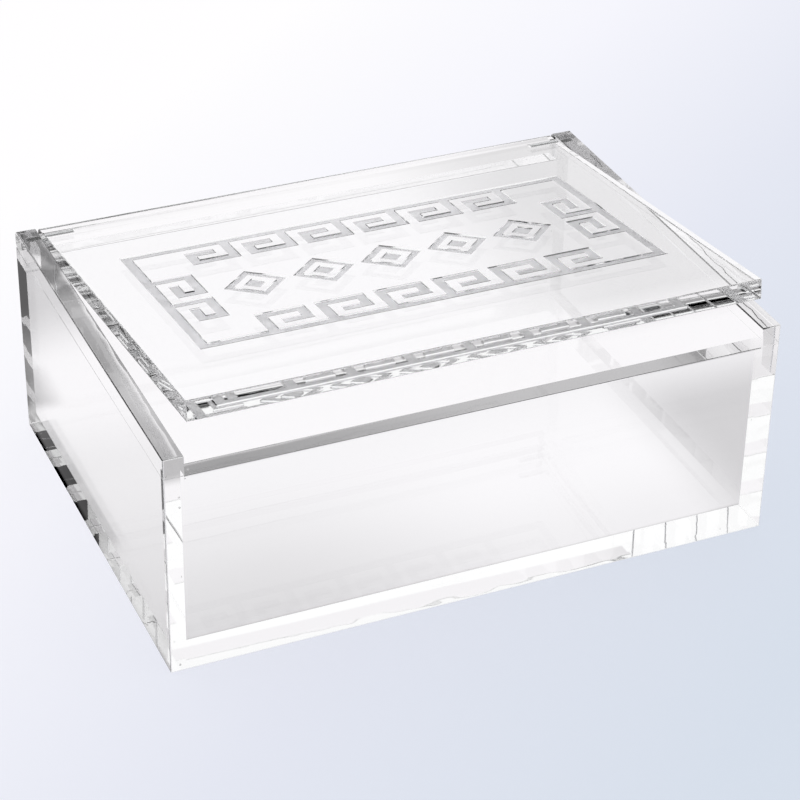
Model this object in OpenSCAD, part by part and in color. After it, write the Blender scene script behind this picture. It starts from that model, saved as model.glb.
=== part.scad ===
// Clear acrylic storage box with a pin-hinged lid.
// Polished cast sheet, solvent welded: a floor, four walls and a rail on top of each side wall.
// The lid lies between the rails, level with their tops, and turns on a steel pin at each side.
// Sizes are in millimetres. The box stands on Z = 0, centred on X and Y, with its front at -Y.

/* [Box] */
// Width across the outer faces of the side walls
box_w = 300; // [150:1:500]
// Depth from the front face to the back face
box_d = 220; // [120:1:400]
// Height of the side walls, which carry the rails
side_wall_h = 103; // [60:1:250]

/* [Sheet] */
// Thickness of the wall and rail sheets
wall_t = 9.5; // [6:0.5:16]
// Thickness of the floor plate
floor_t = 12; // [6:0.5:20]
// Thickness of the lid
lid_t = 10; // [7:0.5:14]
// Height of the rails beside the lid
rail_h = 10; // [8:0.5:16]
// Radius of the polished edges
edge_r = 0.6; // [0.2:0.1:1]

/* [Lid] */
// Gap between the lid and each rail
lid_side_gap = 2; // [0.5:0.1:4]
// Gap between the closed lid and the top of the front wall
lid_seat_gap = 0.3; // [0.2:0.1:2]
// Angle by which the lid stands open
lid_ajar = 7; // [0:1:170]

/* [Hinge] */
// Distance of the pins from the back face
hinge_setback = 10; // [8:0.5:20]
// Diameter of the pins
pin_d = 4; // [2:0.5:5]
// Acrylic left between a pin's hole and the outer face of its rail
rail_skin = 2.5; // [1:0.5:4]
// Depth of the holes in the side edges of the lid
lid_bore_depth = 15; // [8:0.5:30]
// Radial play of a pin in its rail, where it is glued
pin_seat_play = 0.02; // [0.01:0.01:0.05]
// Radial play of a pin in the lid, which turns on it
pin_turn_play = 0.08; // [0.05:0.01:0.1]
// Room at each end of a pin
pin_end_gap = 0.5; // [0.2:0.1:1]
// Gap between the back wall and the tail of the lid as it swings past
tail_gap = 5; // [1:0.5:12]

/* [Hidden] */
$fn = 64;

// Extra length that carries a cut clear through a face
cut_over = 1;

inner_w = box_w - 2 * wall_t;
inner_d = box_d - 2 * wall_t;
front_y = -box_d / 2;
back_y = box_d / 2;
rail_top_z = side_wall_h + rail_h;

// The pins lie at half the height of the rails
pin_y = back_y - hinge_setback;
pin_z = side_wall_h + rail_h / 2;

// The front wall stops just under the closed lid, the back wall below the swing of its tail
front_wall_h = pin_z - lid_t / 2 - lid_seat_gap;
back_wall_h = pin_z - hinge_setback - tail_gap;

lid_w = inner_w - 2 * lid_side_gap;
lid_seat_z = pin_z - lid_t / 2;

rail_bore_depth = wall_t - rail_skin;
pin_outer_x = box_w / 2 - rail_skin - pin_end_gap;
pin_inner_x = lid_w / 2 - lid_bore_depth + pin_end_gap;

acrylic = [0.90, 0.93, 0.95, 0.40];
steel = [0.72, 0.73, 0.75];

// Rectangle from the origin with its own radius at each corner, in the order
// lower left, lower right, upper right, upper left; a radius of 0 leaves the corner square
module edged_rect(w, h, radii) {
    corners = [[0, 0], [w, 0], [w, h], [0, h]];
    inward = [[1, 1], [-1, 1], [-1, -1], [1, -1]];
    difference() {
        square([w, h]);
        for (i = [0 : 3])
            if (radii[i] > 0)
                translate(corners[i])
                    corner_cut(radii[i], inward[i]);
    }
}

// What an edge radius takes off a square corner at the origin
module corner_cut(r, inward) {
    side = r + cut_over;
    difference() {
        translate([inward[0] > 0 ? -cut_over : -r, inward[1] > 0 ? -cut_over : -r])
            square(side);
        translate([inward[0] * r, inward[1] * r])
            circle(r);
    }
}

// Stands a profile drawn in Y and Z on its plane and runs it along X, centred
module run_along_x(length) {
    translate([-length / 2, 0, 0])
        rotate([90, 0, 90])
            linear_extrude(length)
                children();
}

// Stands a profile drawn in X and Z on its plane and runs it along Y, centred
module run_along_y(length) {
    translate([0, length / 2, 0])
        rotate([90, 0, 0])
            linear_extrude(length)
                children();
}

// The outside of the closed box with every edge polished round
module outer_form() {
    r = [edge_r, edge_r, edge_r, edge_r];
    intersection() {
        translate([-box_w / 2, front_y, 0])
            linear_extrude(rail_top_z)
                edged_rect(box_w, box_d, r);
        run_along_x(box_w)
            translate([front_y, 0])
                edged_rect(box_d, rail_top_z, r);
        run_along_y(box_d)
            translate([-box_w / 2, 0])
                edged_rect(box_w, rail_top_z, r);
    }
}

// Mirrors a left-hand piece to the right
module on_side(side) {
    mirror([side == "right" ? 1 : 0, 0, 0])
        children();
}

module floor_plate() {
    color(acrylic)
        translate([-inner_w / 2, -inner_d / 2, 0])
            cube([inner_w, inner_d, floor_t]);
}

// A cross wall between the side walls, with both top edges polished
module cross_wall(outer_y, height) {
    intersection() {
        run_along_x(inner_w)
            translate([outer_y < 0 ? outer_y : outer_y - wall_t, 0])
                edged_rect(wall_t, height, [0, 0, edge_r, edge_r]);
        outer_form();
    }
}

module front_wall() {
    color(acrylic)
        cross_wall(front_y, front_wall_h);
}

module back_wall() {
    color(acrylic)
        cross_wall(back_y, back_wall_h);
}

module side_wall(side) {
    color(acrylic)
        on_side(side)
            intersection() {
                translate([-box_w / 2, front_y, 0])
                    cube([wall_t, box_d, side_wall_h]);
                outer_form();
            }
}

module left_wall() {
    side_wall("left");
}

module right_wall() {
    side_wall("right");
}

// Side view of a rail: square at the front, a full round at the back
module rail_profile() {
    nose_r = rail_h / 2;
    translate([front_y, side_wall_h])
        square([box_d - nose_r, rail_h]);
    translate([back_y - nose_r, pin_z])
        circle(nose_r);
}

// A rail with its blind pin hole, which opens towards the lid
module side_rail(side) {
    color(acrylic)
        on_side(side)
            difference() {
                intersection() {
                    translate([-(box_w - wall_t) / 2, 0, 0])
                        run_along_x(wall_t)
                            rail_profile();
                    run_along_y(box_d)
                        translate([-box_w / 2, side_wall_h])
                            edged_rect(wall_t, rail_h, [0, 0, edge_r, edge_r]);
                    outer_form();
                }
                translate([-box_w / 2 + rail_skin, pin_y, pin_z])
                    rotate([0, 90, 0])
                        cylinder(h = rail_bore_depth + cut_over, r = pin_d / 2 + pin_seat_play);
            }
}

module left_rail() {
    side_rail("left");
}

module right_rail() {
    side_rail("right");
}

// Side view of the closed lid: polished front edges, a full round at the tail
module lid_profile() {
    tail_r = lid_t / 2;
    translate([front_y, lid_seat_z])
        edged_rect(box_d - tail_r, lid_t, [edge_r, 0, 0, edge_r]);
    translate([back_y - tail_r, pin_z])
        circle(tail_r);
}

// The lid as it lies when it is closed, with a blind pin hole in each side edge
module closed_lid() {
    r = [edge_r, edge_r, edge_r, edge_r];
    difference() {
        intersection() {
            run_along_x(lid_w)
                lid_profile();
            run_along_y(box_d)
                translate([-lid_w / 2, lid_seat_z])
                    edged_rect(lid_w, lid_t, r);
            translate([-lid_w / 2, front_y, lid_seat_z])
                linear_extrude(lid_t)
                    edged_rect(lid_w, box_d, r);
        }
        for (side = [-1, 1])
            translate([side * (lid_w / 2 - lid_bore_depth), pin_y, pin_z])
                rotate([0, side * 90, 0])
                    cylinder(h = lid_bore_depth + cut_over, r = pin_d / 2 + pin_turn_play);
    }
}

// The lid turned about its pins to the angle at which it stands open
module lid() {
    color(acrylic)
        translate([0, pin_y, pin_z])
            rotate([-lid_ajar, 0, 0])
                translate([0, -pin_y, -pin_z])
                    closed_lid();
}

// A straight pin, glued in its rail and free in the lid
module hinge_pin(side) {
    color(steel)
        on_side(side)
            translate([-pin_outer_x, pin_y, pin_z])
                rotate([0, 90, 0])
                    cylinder(h = pin_outer_x - pin_inner_x, d = pin_d);
}

module left_hinge_pin() {
    hinge_pin("left");
}

module right_hinge_pin() {
    hinge_pin("right");
}

floor_plate();
front_wall();
back_wall();
left_wall();
right_wall();
left_rail();
right_rail();
lid();
left_hinge_pin();
right_hinge_pin();
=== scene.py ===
import math
import random
import bmesh
import bpy
from mathutils import Matrix, Vector


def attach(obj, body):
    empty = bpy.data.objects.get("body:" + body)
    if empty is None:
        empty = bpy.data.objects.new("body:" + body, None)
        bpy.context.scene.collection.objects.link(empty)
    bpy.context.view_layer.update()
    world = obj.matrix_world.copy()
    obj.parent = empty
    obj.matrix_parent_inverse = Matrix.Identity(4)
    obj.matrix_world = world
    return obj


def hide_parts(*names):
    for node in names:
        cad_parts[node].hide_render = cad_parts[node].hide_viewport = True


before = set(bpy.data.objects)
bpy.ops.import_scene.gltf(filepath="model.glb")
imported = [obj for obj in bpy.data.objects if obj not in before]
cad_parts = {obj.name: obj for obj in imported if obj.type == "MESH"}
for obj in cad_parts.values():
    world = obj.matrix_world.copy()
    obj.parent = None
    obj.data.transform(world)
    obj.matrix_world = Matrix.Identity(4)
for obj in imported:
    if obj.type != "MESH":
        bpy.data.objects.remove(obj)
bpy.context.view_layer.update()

# Camera, fitted to the corners of the box in the photograph
CAMERA_AT = Vector((-0.4233, -0.9674, 0.7088))
CAMERA_AZIMUTH = math.radians(24.015)
CAMERA_ELEVATION = math.radians(32.214)
CAMERA_ROLL = math.radians(1.040)
FOCAL_PIXELS = 2560.4
IMAGE_PIXELS = 800
SENSOR_MM = 36
FARTHEST_SEEN = 50

# Sizes of the solids that the looks are set out from, in metres
BOX_W = 0.300
BOX_D = 0.220
SIDE_WALL_H = 0.103
RAIL_H = 0.010
WALL_T = 0.0095
HINGE_SETBACK = 0.010
LID_AJAR = math.radians(7)
INNER_HALF_W = BOX_W / 2 - WALL_T
PIN_Y = BOX_D / 2 - HINGE_SETBACK
PIN_Z = SIDE_WALL_H + RAIL_H / 2
LID_TOP = SIDE_WALL_H + RAIL_H

# Light is followed through this many faces of the clear pieces
LIGHT_BOUNCES = 32

# The glued pieces, each with the axis across its sheet
SHEET_AXIS = {
    "floor_plate": Vector((0, 0, 1)),
    "left_wall": Vector((1, 0, 0)),
    "right_wall": Vector((1, 0, 0)),
    "front_wall": Vector((0, 1, 0)),
    "back_wall": Vector((0, 1, 0)),
    "left_rail": Vector((1, 0, 0)),
    "right_rail": Vector((1, 0, 0)),
}

# Clear acrylic: how it bends light, its tint across the sheet and through an edge, and the faint
# smears on it
ACRYLIC_IOR = 1.49
SHEET_TINT = (0.995, 0.997, 1.0, 1)
EDGE_TINT = (0.993, 0.995, 0.998, 1)
SMEARS_PER_METRE = (14, 22, 14)
SMEAR_ROUGHNESS = 0.04

# An edge goes from its painted shade to clear within this much of its wave, and within this length along
# Y
DARK_PATCH_SOFT = 0.18
DARK_LENGTH_SOFT = 0.03

# Matt ground that is engraved or sanded, between its two shades
MATT_DARK = (236, 236, 240)
MATT_PALE = (253, 253, 255)
MATT_ROUGHNESS = (0.35, 0.6)

# Ground steel, brushed along X, between the two shades of its brush lines
BRUSH_LINES_PER_METRE = (60, 2400, 2400)
STEEL_DARK = (0.62, 0.63, 0.64, 1)
STEEL_PALE = (0.80, 0.81, 0.82, 1)
STEEL_ROUGHNESS = (0.18, 0.34)

# Air bubbles in the joints: the least and most that one is stretched, and the place and radius of each
BUBBLE_STRETCH = (0.7, 1.3)
BUBBLES = [
    ((-0.1370, -0.1050, 0.1012), 0.0008),
    ((-0.1395, -0.1060, 0.0998), 0.0004),
    ((-0.1450, -0.1070, 0.0022), 0.0007),
    ((-0.1475, -0.1080, 0.0160), 0.0003),
    ((-0.1480, -0.1060, 0.1030), 0.0004),
    ((-0.1430, -0.1075, 0.0500), 0.0003),
    ((0.1290, -0.1070, 0.0030), 0.0004),
    ((0.1405, -0.1060, 0.0620), 0.0003),
    ((0.1470, -0.1070, 0.1030), 0.0005),
    ((-0.1405, 0.1050, 0.0030), 0.0006),
    ((-0.1405, 0.0940, 0.0035), 0.0004),
    ((0.1405, 0.1040, 0.0500), 0.0004),
]

# Slots of the materials on a clear piece: its sheet faces, its edges of each finish, with painted shade
# on the routed and sawn ones, its engraved ground and its sanded rounds
SHEET, POLISHED, ROUTED_SHADED, SAWN_SHADED, FROSTED, SANDED = range(6)

# Two directions are the same if their dot product is above this
SAME_DIRECTION = 0.999

# Limits for a face's direction: an upright face has less than this along Z, a rounded corner more than
# this along both X and Y, and a face on the left at most this along X
UPRIGHT = 0.1
ROUNDED = 0.05
FACES_LEFT = -0.5

# Width and depth of the joint lines between rails and side walls, and how far a cutter stands out
# past a face
GROOVE = 0.00025
CUT_OVER = 0.001

# Engraved ornament on the top of the lid: a frame of keys round a row of lozenges
KEY = [
    "111111",
    "010000",
    "010111",
    "010001",
    "011111",
]
KEY_CELL = 0.0048
KEYS_ACROSS = 6
KEYS_DEEP = 2
ORNAMENT_CENTRE_Y = -0.006
ENGRAVING_DEPTH = 0.0007
LOZENGES = 5
LOZENGE_PITCH = 0.034
LOZENGE_HALF = 0.0155

# Outer and inner size of a lozenge's rings, as shares of its half width
LOZENGE_RINGS = ((1.0, 0.68), (0.36, 0.0))

# Dark opening of the white tent round the box: its bearing from the front in radians, its lowest and
# highest height as a sine, and how soft its sides are
OPENING_BEARING = math.radians(-8)
OPENING_HALF_WIDTH = math.radians(42)
OPENING_SIDE_SOFT = 0.12
OPENING_LOW = 0.02
OPENING_HIGH = 0.515
OPENING_SOFT = 0.035

# The rear of the tent is brighter by this share up to this height, as a sine, with this much of a soft
# step above it and this much from the sides towards the rear
REAR_GLOW = 0.28
REAR_HIGH = 0.62
REAR_SOFT = 0.08
REAR_SIDE_SOFT = 0.3

# The floor lies a little under the box and reaches this far
FLOOR_DROP = 0.0003
FLOOR_HALF = 4.0

# Most of what is seen of the floor is a glow of its own, so that it is as pale as in the photograph.
# The rest is matt and takes the shadow.
FLOOR_GLOW = 1.04
FLOOR_GLOW_SHARE = 0.85

# Its colour runs along a ramp from white at the rear left to pale blue-grey at the front right. The
# place along it is a start plus a slope times X and a slope times Y.
RAMP_START = 0.555
RAMP_PER_X = 0.827
RAMP_PER_Y = -1.017
RAMP_STOPS = [
    (0.13, (255, 254, 255)),
    (0.38, (246, 246, 253)),
    (0.62, (229, 232, 243)),
    (0.86, (216, 224, 236)),
]


def stripe(axis, middle, half, soft):
    """The two soft steps that bound a stripe across an axis of the floor."""
    return [(axis, middle - half - soft, middle - half), (axis, middle + half + soft, middle + half)]


# What the acrylic shows of the floor is glowing paper of this colour and level, with painted shade in
# darker zones. A zone has how much darker it is, and its soft steps: an axis, where the step begins and
# where it is full.
PAPER_TINT = (1.0, 0.983, 1.0, 1.0)
PAPER_LEVEL = 0.965
WALL_X = BOX_W / 2 - WALL_T / 2
WALL_Y = BOX_D / 2 - WALL_T / 2
UNDER_WIDTH = stripe("x", 0, BOX_W / 2, 0.001)
UNDER_DEPTH = stripe("y", 0, BOX_D / 2, 0.001)
LEFT_WALL = stripe("x", -WALL_X, WALL_T / 2, 0.003) + UNDER_DEPTH
# Painted shade on the paper under and round the box, as the acrylic shows it
PAINTED_SHADE_ZONES = {
    "under the front wall": (0.40, stripe("y", -WALL_Y + 0.003, WALL_T / 2 + 0.003, 0.003) + UNDER_WIDTH),
    "under the left wall": (0.30, LEFT_WALL),
    "under the rear of the left wall": (0.22, LEFT_WALL + [("y", 0.02, 0.05)]),
    "under the front half": (0.10, [("y", -0.03, -0.10)] + UNDER_WIDTH + UNDER_DEPTH),
    "under the front left": (0.20, [("y", 0.04, -0.06), ("x", 0.06, -0.10)] + UNDER_WIDTH + UNDER_DEPTH),
    "at the foot of the left wall": (
        0.50, stripe("x", -WALL_X - WALL_T, WALL_T / 2, 0.002) + [("y", -0.02, 0.01)] + UNDER_DEPTH),
    "behind the left rear corner": (
        0.45, stripe("x", -0.142, 0.014, 0.012) + stripe("y", 0.147, 0.014, 0.012)),
    "right of the box": (0.37, [("x", 0.12, 0.18), ("y", 0.05, 0.0)]),
    "right of the rear": (0.28, [("x", 0.10, 0.20), ("y", 0.07, 0.11)]),
    "left of the box": (0.24, [("x", -0.13, -0.16), ("y", 0.13, 0.05)]),
    "behind the left side": (0.60, [("x", -0.10, -0.15), ("y", 0.16, 0.23)]),
    "in front of the box": (0.70, [("y", -0.20, -0.30)]),
}


class Graph:
    """The nodes of a material or of the world, made one call at a time."""

    def __init__(self, owner):
        owner.use_nodes = True
        self.tree = owner.node_tree
        self.tree.nodes.clear()

    def node(self, kind, **settings):
        made = self.tree.nodes.new(kind)
        for name, value in settings.items():
            setattr(made, name, value)
        return made

    def feed(self, socket, value):
        if isinstance(value, bpy.types.NodeSocket):
            self.tree.links.new(value, socket)
        else:
            socket.default_value = value

    def math(self, operation, first, second=0.0):
        made = self.node("ShaderNodeMath", operation=operation)
        self.feed(made.inputs[0], first)
        self.feed(made.inputs[1], second)
        return made.outputs[0]

    def rise(self, value, start, end):
        """A smooth step from 0 at the start to 1 at the end."""
        made = self.node("ShaderNodeMapRange", interpolation_type="SMOOTHSTEP")
        for name, number in (("Value", value), ("From Min", start), ("From Max", end)):
            self.feed(made.inputs[name], number)
        return made.outputs[0]

    def band(self, value, middle, half, soft):
        """A band of 1 with soft sides, and 0 elsewhere."""
        rising = self.rise(value, middle - half - soft, middle - half)
        falling = self.rise(value, middle + half + soft, middle + half)
        return self.math("MULTIPLY", rising, falling)

    def times(self, *values):
        product = values[0]
        for value in values[1:]:
            product = self.math("MULTIPLY", product, value)
        return product

    def place(self, kind="Object"):
        return self.node("ShaderNodeTexCoord").outputs[kind]

    def axes(self, place):
        """X, Y and Z of a place."""
        made = self.node("ShaderNodeSeparateXYZ")
        self.feed(made.inputs[0], place)
        return made.outputs

    def noise(self, place, scale, detail=2.0):
        made = self.node("ShaderNodeTexNoise")
        self.feed(made.inputs["Vector"], place)
        self.feed(made.inputs["Scale"], scale)
        self.feed(made.inputs["Detail"], detail)
        return made.outputs["Fac"]

    def remap(self, value, old, new):
        """A value of the old range as the same share of the new one."""
        made = self.node("ShaderNodeMapRange")
        for socket, number in zip(made.inputs, (value, *old, *new)):
            self.feed(socket, number)
        return made.outputs[0]

    def mapped(self, place, scale):
        made = self.node("ShaderNodeMapping")
        self.feed(made.inputs["Vector"], place)
        self.feed(made.inputs["Scale"], scale)
        return made.outputs[0]

    def bump(self, height, distance):
        made = self.node("ShaderNodeBump")
        self.feed(made.inputs["Height"], height)
        self.feed(made.inputs["Distance"], distance)
        self.feed(made.inputs["Strength"], 1.0)
        return made.outputs[0]

    def mix_colors(self, share, first, second):
        made = self.node("ShaderNodeMix", data_type="RGBA")
        self.feed(made.inputs["Factor"], share)
        self.feed(made.inputs["A"], first)
        self.feed(made.inputs["B"], second)
        return made.outputs["Result"]

    def mix_shaders(self, share, first, second):
        made = self.node("ShaderNodeMixShader")
        for socket, value in zip(made.inputs, (share, first, second)):
            self.feed(socket, value)
        return made.outputs[0]

    def emission(self, color, strength):
        made = self.node("ShaderNodeEmission")
        self.feed(made.inputs["Color"], color)
        self.feed(made.inputs["Strength"], strength)
        return made.outputs[0]

    def principled(self, **values):
        made = self.node("ShaderNodeBsdfPrincipled")
        for name, value in values.items():
            self.feed(made.inputs[name.replace("_", " ")], value)
        return made.outputs[0]

    def output(self, shader, kind="ShaderNodeOutputMaterial"):
        self.feed(self.node(kind).inputs["Surface"], shader)


def srgb(red, green, blue):
    """A colour given as a screen shows it, from 0 to 255, as Blender's linear one."""
    linear = []
    for level in (red, green, blue):
        share = level / 255
        linear.append(share / 12.92 if share <= 0.04045 else ((share + 0.055) / 1.055) ** 2.4)
    return (*linear, 1.0)


def new_material(name):
    material = bpy.data.materials.new(name)
    return material, Graph(material)


def sheet_acrylic(name):
    """Cast sheet: polished, with hardly any unevenness and a few faint smears."""
    material, g = new_material(name)
    place = g.place()
    smear = g.noise(g.mapped(place, SMEARS_PER_METRE), scale=1.0, detail=4.0)
    g.output(g.principled(
        Base_Color=SHEET_TINT,
        Roughness=g.remap(smear, (0.55, 0.85), (0.0, SMEAR_ROUGHNESS)),
        IOR=ACRYLIC_IOR,
        Transmission_Weight=1.0,
        Normal=g.bump(g.noise(place, scale=9.0, detail=1.0), distance=0.00012),
    ))
    return material


def edge_acrylic(name, wave_height, waves_per_metre, darkest=0.99, clear_from=0.60, clear_before=None):
    """Edge of the sheet: wavy along its length, clear on the crests and painted darker in the hollows as
    shade.

    Where a place along Y is given, the edge is clear all over in front of it, and the painted shade lies
    only behind it.
    """
    material, g = new_material(name)
    place = g.place()
    wave = g.noise(place, scale=waves_per_metre, detail=1.5)
    clear = g.rise(wave, clear_from - DARK_PATCH_SOFT, clear_from)
    if clear_before is not None:
        in_front = g.rise(g.axes(place)[1], clear_before + DARK_LENGTH_SOFT, clear_before)
        clear = g.math("MAXIMUM", clear, in_front)
    g.output(g.principled(
        # Painted shade: the colour falls to the darkest shade where the wave is low
        Base_Color=g.mix_colors(clear, (darkest, darkest, darkest + 0.005, 1), EDGE_TINT),
        Roughness=g.remap(g.noise(place, scale=90.0), (0.5, 0.9), (0.0, SMEAR_ROUGHNESS)),
        IOR=ACRYLIC_IOR,
        Transmission_Weight=1.0,
        Normal=g.bump(wave, wave_height),
    ))
    return material


def frosted_acrylic(name, clear_share):
    """Engraved or sanded ground: matt, pale grey and grainy."""
    material, g = new_material(name)
    place = g.place()
    grain = g.noise(place, scale=1500.0, detail=3.0)
    cloud = g.noise(place, scale=120.0, detail=3.0)
    g.output(g.principled(
        Base_Color=g.mix_colors(cloud, srgb(*MATT_DARK), srgb(*MATT_PALE)),
        Roughness=g.remap(cloud, (0.3, 0.7), MATT_ROUGHNESS),
        IOR=ACRYLIC_IOR,
        Transmission_Weight=clear_share,
        Normal=g.bump(grain, distance=0.0001),
    ))
    return material


def steel(name):
    """Ground rod, brushed along its length."""
    material, g = new_material(name)
    lines = g.noise(g.mapped(g.place(), BRUSH_LINES_PER_METRE), scale=1.0)
    g.output(g.principled(
        Base_Color=g.mix_colors(lines, STEEL_DARK, STEEL_PALE),
        Metallic=1.0,
        Roughness=g.remap(lines, (0.2, 0.8), STEEL_ROUGHNESS),
        Normal=g.bump(lines, distance=0.00002),
    ))
    return material


def trapped_air(name):
    """The wall of a bubble, seen from inside the acrylic."""
    material, g = new_material(name)
    g.output(g.principled(
        Base_Color=(1, 1, 1, 1),
        Roughness=0.0,
        IOR=1 / ACRYLIC_IOR,
        Transmission_Weight=1.0,
        Normal=g.bump(g.noise(g.place(), scale=2000.0), distance=0.00002),
    ))
    return material


def new_piece(name, mesh):
    piece = bpy.data.objects.new(name, mesh)
    bpy.context.scene.collection.objects.link(piece)
    return piece


def welded_copy(node, name):
    """A copy of a solid's mesh with its corners joined, so that it can be cut and added to."""
    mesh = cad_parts[node].data.copy()
    bm = bmesh.new()
    bm.from_mesh(mesh)
    bmesh.ops.remove_doubles(bm, verts=bm.verts, dist=1e-6)
    bm.to_mesh(mesh)
    bm.free()
    return new_piece(name, mesh)


def combine(piece, other, operation):
    """Adds another mesh to a piece or cuts it out of it, and removes the other."""
    modifier = piece.modifiers.new("combine", "BOOLEAN")
    modifier.operation = operation
    modifier.solver = "EXACT"
    modifier.object = other
    depsgraph = bpy.context.evaluated_depsgraph_get()
    result = bpy.data.meshes.new_from_object(piece.evaluated_get(depsgraph))
    piece.modifiers.clear()
    piece.data = result
    bpy.data.objects.remove(other)


def block(low, high):
    """A cutter between two corners."""
    mesh = bpy.data.meshes.new("block")
    bm = bmesh.new()
    bmesh.ops.create_cube(bm, size=1.0)
    low, high = Vector(low), Vector(high)
    for vert in bm.verts:
        vert.co = Vector(((low[i] + high[i]) / 2 + vert.co[i] * (high[i] - low[i]) for i in range(3)))
    bm.to_mesh(mesh)
    bm.free()
    return new_piece("block", mesh)


def set_materials(piece, materials):
    piece.data.materials.clear()
    for material in materials:
        piece.data.materials.append(material)


def split_edges_from_sheet(piece, axis, materials, edge):
    """One material goes on the two faces across the axis of the sheet, another on its edges."""
    set_materials(piece, materials)
    for face in piece.data.polygons:
        face.material_index = SHEET if abs(face.normal.dot(axis)) > SAME_DIRECTION else edge


def glued_box(materials):
    """The glued pieces as one clear body, since a welded joint shows no surface inside."""
    body = None
    for node, axis in SHEET_AXIS.items():
        piece = welded_copy(node, "glued_box")
        # The rails' edges take the routed edge with its painted shade
        split_edges_from_sheet(piece, axis, materials, ROUTED_SHADED if node.endswith("rail") else POLISHED)
        if body is None:
            body = piece
        else:
            combine(body, piece, "UNION")
    for groove in joint_grooves():
        combine(body, groove, "DIFFERENCE")
    frost_upright_rounds(body)
    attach(body, "box")
    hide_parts(*SHEET_AXIS)


def frost_upright_rounds(body):
    """The rounds on the upright corners of the box are sanded, so they are matt."""
    for face in body.data.polygons:
        across = min(abs(face.normal.x), abs(face.normal.y))
        if abs(face.normal.z) < UPRIGHT and across > ROUNDED:
            face.material_index = SANDED


def joint_grooves():
    """Cutters for the fine lines where a rail meets its side wall, on the outside and in front."""
    low_z, high_z = SIDE_WALL_H - GROOVE / 2, SIDE_WALL_H + GROOVE / 2
    front, back = -BOX_D / 2, BOX_D / 2
    grooves = []
    for side in (-1, 1):
        outer, inner = side * BOX_W / 2, side * INNER_HALF_W
        low_x, high_x = sorted((outer + side * CUT_OVER, outer - side * GROOVE))
        grooves.append(block((low_x, front - CUT_OVER, low_z), (high_x, back + CUT_OVER, high_z)))
        low_x, high_x = sorted((outer, inner))
        grooves.append(block((low_x - CUT_OVER, front - CUT_OVER, low_z),
                             (high_x + CUT_OVER, front + GROOVE, high_z)))
    return grooves


def joint_bubbles():
    """Air caught in the glued joints: a few bubbles, each a little out of round."""
    rng = random.Random(7)
    bm = bmesh.new()
    for place, radius in BUBBLES:
        stretch = Matrix.Diagonal([rng.uniform(*BUBBLE_STRETCH) for _ in range(3)] + [1])
        turn = Matrix.Rotation(rng.uniform(0, math.pi), 4, "Z")
        bmesh.ops.create_icosphere(bm, subdivisions=3, radius=radius,
                                   matrix=Matrix.Translation(place) @ turn @ stretch)
    mesh = bpy.data.meshes.new("joint_bubbles")
    bm.to_mesh(mesh)
    bm.free()
    for face in mesh.polygons:
        face.use_smooth = True
    mesh.materials.append(trapped_air("trapped_air"))
    bubbles = new_piece("joint_bubbles", mesh)
    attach(bubbles, "box")


def to_lid(point):
    """From the closed lid to the lid as it stands ajar."""
    turn = Matrix.Translation((0, PIN_Y, PIN_Z)) @ Matrix.Rotation(-LID_AJAR, 4, "X")
    return turn @ Matrix.Translation((0, -PIN_Y, -PIN_Z)) @ Vector(point)


def key_row(keys):
    """Cells of a row of keys: how far along the row and how deep from its outer side."""
    for key in range(keys):
        for depth, line in enumerate(KEY):
            for column, mark in enumerate(line):
                if mark == "1":
                    yield key * len(line) + column, depth


def key_cells():
    """Cells of the key frame as whole numbers, counted from its lower left corner, and its size."""
    width, height = len(KEY[0]), len(KEY)
    across, deep = KEYS_ACROSS * width, KEYS_DEEP * width
    right, rear = 2 * height + across + 1, 2 * height + deep + 1
    cells = set()
    for along, depth in key_row(KEYS_ACROSS):
        cells.add((height + 1 + along, depth))
        cells.add((height + across - along, rear - depth))
    for along, depth in key_row(KEYS_DEEP):
        cells.add((depth, height + deep - along))
        cells.add((right - depth, height + 1 + along))
    for step in range(height + 1):
        for column, row in ((step, 0), (0, step)):
            for corner_column in (column, right - column):
                cells |= {(corner_column, row), (corner_column, rear - row)}
    return cells, right + 1, rear + 1


def engraving_cutter():
    """The key frame and the lozenges as one mesh that cuts into the top of the lid."""
    bm = bmesh.new()
    cells, columns, rows = key_cells()
    left = -columns * KEY_CELL / 2
    front = ORNAMENT_CENTRE_Y - rows * KEY_CELL / 2
    corners = {}

    def corner(column, row):
        if (column, row) not in corners:
            corners[column, row] = bm.verts.new((left + column * KEY_CELL, front + row * KEY_CELL, 0))
        return corners[column, row]

    for column, row in sorted(cells):
        bm.faces.new([corner(column, row), corner(column + 1, row),
                      corner(column + 1, row + 1), corner(column, row + 1)])
    for index in range(LOZENGES):
        centre = (index - (LOZENGES - 1) / 2) * LOZENGE_PITCH
        for outer, inner in LOZENGE_RINGS:
            for face in lozenge_ring(bm, centre, outer * LOZENGE_HALF, inner * LOZENGE_HALF):
                bm.faces.new(face)
    solid = bmesh.ops.extrude_face_region(bm, geom=list(bm.faces))
    for item in solid["geom"]:
        if isinstance(item, bmesh.types.BMVert):
            item.co.z = 2 * ENGRAVING_DEPTH
    for vert in bm.verts:
        vert.co = to_lid(vert.co + Vector((0, 0, LID_TOP - ENGRAVING_DEPTH)))
    bmesh.ops.recalc_face_normals(bm, faces=bm.faces)
    mesh = bpy.data.meshes.new("engraving")
    bm.to_mesh(mesh)
    bm.free()
    return new_piece("engraving", mesh)


def lozenge_ring(bm, centre, outer, inner):
    """Corners of a lozenge's faces, solid if the inner size is 0."""
    steps = ((1, 0), (0, 1), (-1, 0), (0, -1))
    rim = [bm.verts.new((centre + x * outer, ORNAMENT_CENTRE_Y + y * outer, 0)) for x, y in steps]
    if inner == 0:
        return [rim]
    hole = [bm.verts.new((centre + x * inner, ORNAMENT_CENTRE_Y + y * inner, 0)) for x, y in steps]
    return [[rim[i], rim[(i + 1) % 4], hole[(i + 1) % 4], hole[i]] for i in range(4)]


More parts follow.
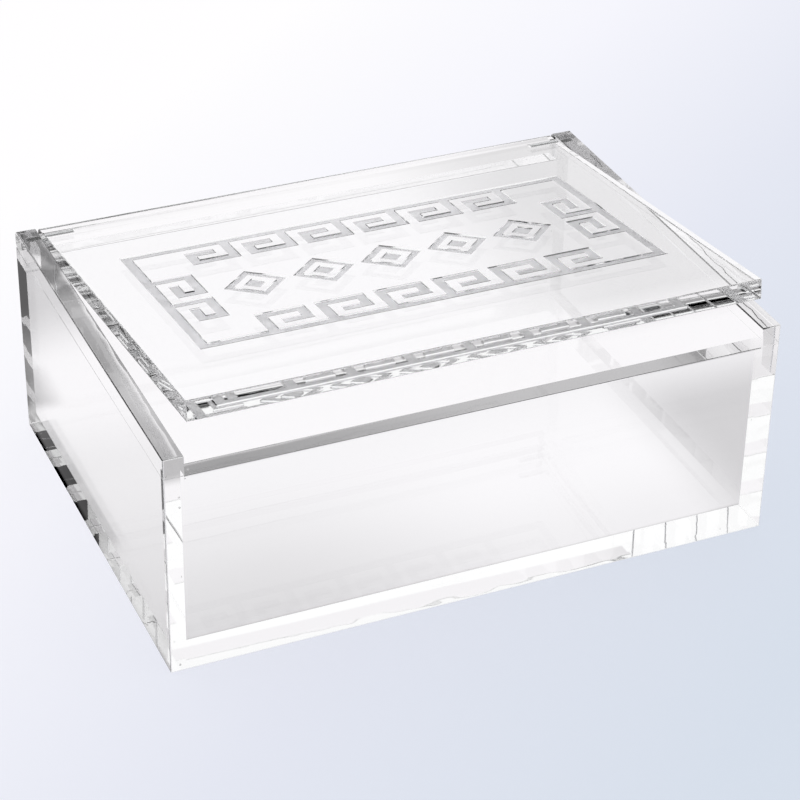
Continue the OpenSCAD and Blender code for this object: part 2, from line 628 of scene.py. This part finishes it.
def engraved_lid(materials):
    """The lid with its ornament cut in and its left edge left as the saw cut it, with near black patches
    of painted shade.
    """
    lid = welded_copy("lid", "engraved_lid")
    up = to_lid((0, 0, 1)) - to_lid((0, 0, 0))
    ground = to_lid((0, 0, LID_TOP - ENGRAVING_DEPTH)).dot(up)
    split_edges_from_sheet(lid, up, materials, POLISHED)
    # Faces on the left take the sawn edge with its painted shade
    for face in lid.data.polygons:
        if face.normal.x <= FACES_LEFT and face.material_index == POLISHED:
            face.material_index = SAWN_SHADED
    combine(lid, engraving_cutter(), "DIFFERENCE")
    set_materials(lid, materials)
    for face in lid.data.polygons:
        depth_off = abs(face.center.dot(up) - ground)
        if face.normal.dot(up) > SAME_DIRECTION and depth_off < ENGRAVING_DEPTH / 10:
            face.material_index = FROSTED
    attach(lid, "lid")
    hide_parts("lid")


def new_camera():
    """The camera of the photograph."""
    camera = new_piece("camera", bpy.data.cameras.new("camera"))
    az, el, roll = CAMERA_AZIMUTH, CAMERA_ELEVATION, CAMERA_ROLL
    forward = Vector((math.sin(az) * math.cos(el), math.cos(az) * math.cos(el), -math.sin(el)))
    level = Vector((math.cos(az), -math.sin(az), 0))
    upright = level.cross(forward)
    right = level * math.cos(roll) + upright * math.sin(roll)
    up = upright * math.cos(roll) - level * math.sin(roll)
    turn = Matrix((right, up, -forward)).transposed()
    camera.matrix_world = Matrix.Translation(CAMERA_AT) @ turn.to_4x4()
    camera.data.sensor_width = SENSOR_MM
    camera.data.lens = FOCAL_PIXELS / IMAGE_PIXELS * SENSOR_MM
    camera.data.clip_end = FARTHEST_SEEN
    bpy.context.scene.camera = camera


def floor_color(g):
    """Colour of the floor: white at the rear left, pale blue-grey at the front right."""
    x, y, _ = g.axes(g.place())
    along = g.math("ADD", g.times(x, RAMP_PER_X), g.times(y, RAMP_PER_Y))
    ramp = g.node("ShaderNodeValToRGB")
    g.feed(ramp.inputs[0], g.math("ADD", along, RAMP_START))
    ends = ramp.color_ramp.elements
    for element, (position, color) in zip(ends, (RAMP_STOPS[0], RAMP_STOPS[-1])):
        element.position, element.color = position, srgb(*color)
    for position, color in RAMP_STOPS[1:-1]:
        ends.new(position).color = srgb(*color)
    return ramp.outputs[0]


def paper_tone_with_painted_shade(g):
    """Brightness of the glowing paper as the acrylic shows it, less in each zone of painted shade."""
    x, y, _ = g.axes(g.place())
    along = {"x": x, "y": y}
    tone = PAPER_LEVEL
    for darker, steps in PAINTED_SHADE_ZONES.values():
        inside = [g.rise(along[axis], begins, full) for axis, begins, full in steps]
        tone = g.math("SUBTRACT", tone, g.times(*inside, darker))
    return tone


def floor_material():
    """Seen straight it glows and takes a shadow. Seen through or in the acrylic it is paper that glows,
    with painted shade in its darker zones.
    """
    material, g = new_material("floor")
    color = floor_color(g)
    path = g.node("ShaderNodeLightPath")
    matt = g.node("ShaderNodeBsdfDiffuse")
    g.feed(matt.inputs["Color"], color)
    seen = g.mix_shaders(FLOOR_GLOW_SHARE, matt.outputs[0], g.emission(color, FLOOR_GLOW))
    by_acrylic = g.math("MAXIMUM", path.outputs["Is Transmission Ray"], path.outputs["Is Glossy Ray"])
    g.output(g.mix_shaders(by_acrylic, seen, g.emission(PAPER_TINT, paper_tone_with_painted_shade(g))))
    return material


def new_floor():
    mesh = bpy.data.meshes.new("floor")
    signs = [(-1, -1), (1, -1), (1, 1), (-1, 1)]
    corners = [(x * FLOOR_HALF, y * FLOOR_HALF, -FLOOR_DROP) for x, y in signs]
    mesh.from_pydata(corners, [], [(0, 1, 2, 3)])
    mesh.materials.append(floor_material())
    floor = new_piece("floor", mesh)


def new_world():
    """A white tent, brighter at the rear, with a dark opening in front."""
    world = bpy.data.worlds.new("studio")
    bpy.context.scene.world = world
    g = Graph(world)
    x, y, z = g.axes(g.place("Generated"))
    bearing = g.math("ARCTAN2", x, g.times(y, -1.0))
    middle, half = (OPENING_LOW + OPENING_HIGH) / 2, (OPENING_HIGH - OPENING_LOW) / 2
    opening = g.times(
        g.band(bearing, OPENING_BEARING, OPENING_HALF_WIDTH, OPENING_SIDE_SOFT),
        g.band(z, middle, half, OPENING_SOFT),
    )
    rear = g.times(g.rise(y, 0.0, REAR_SIDE_SOFT), g.rise(z, REAR_HIGH + REAR_SOFT, REAR_HIGH))
    glow = g.node("ShaderNodeBackground")
    closed = g.math("SUBTRACT", 1.0, opening)
    g.feed(glow.inputs["Strength"], g.math("ADD", closed, g.times(rear, REAR_GLOW)))
    g.output(glow.outputs[0], "ShaderNodeOutputWorld")


clear = [
    sheet_acrylic("clear_sheet"),
    edge_acrylic("polished_edge", wave_height=0.00018, waves_per_metre=30.0),
    # The routed edge is painted dark grey in the hollows of its wave as shade, behind the front of the
    # rails
    edge_acrylic("routed_edge_painted_shade", wave_height=0.0002, waves_per_metre=60.0,
                 darkest=0.20, clear_from=0.70, clear_before=0.02),
    # The sawn edge is painted near black in the hollows of its wave as shade
    edge_acrylic("sawn_edge_painted_shade", wave_height=0.0009, waves_per_metre=60.0,
                 darkest=0.008, clear_from=0.72),
    frosted_acrylic("engraved_frost", clear_share=0.9),
    frosted_acrylic("sanded_corner", clear_share=1.0),
]
glued_box(clear)
joint_bubbles()
engraved_lid(clear)
rod = steel("ground_steel")
for node in ("left_hinge_pin", "right_hinge_pin"):
    set_materials(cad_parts[node], [rod])
new_floor()
new_world()
new_camera()
scene = bpy.context.scene
scene.view_settings.view_transform = "Standard"
scene.cycles.max_bounces = LIGHT_BOUNCES
scene.cycles.transmission_bounces = LIGHT_BOUNCES
scene.cycles.glossy_bounces = LIGHT_BOUNCES // 2
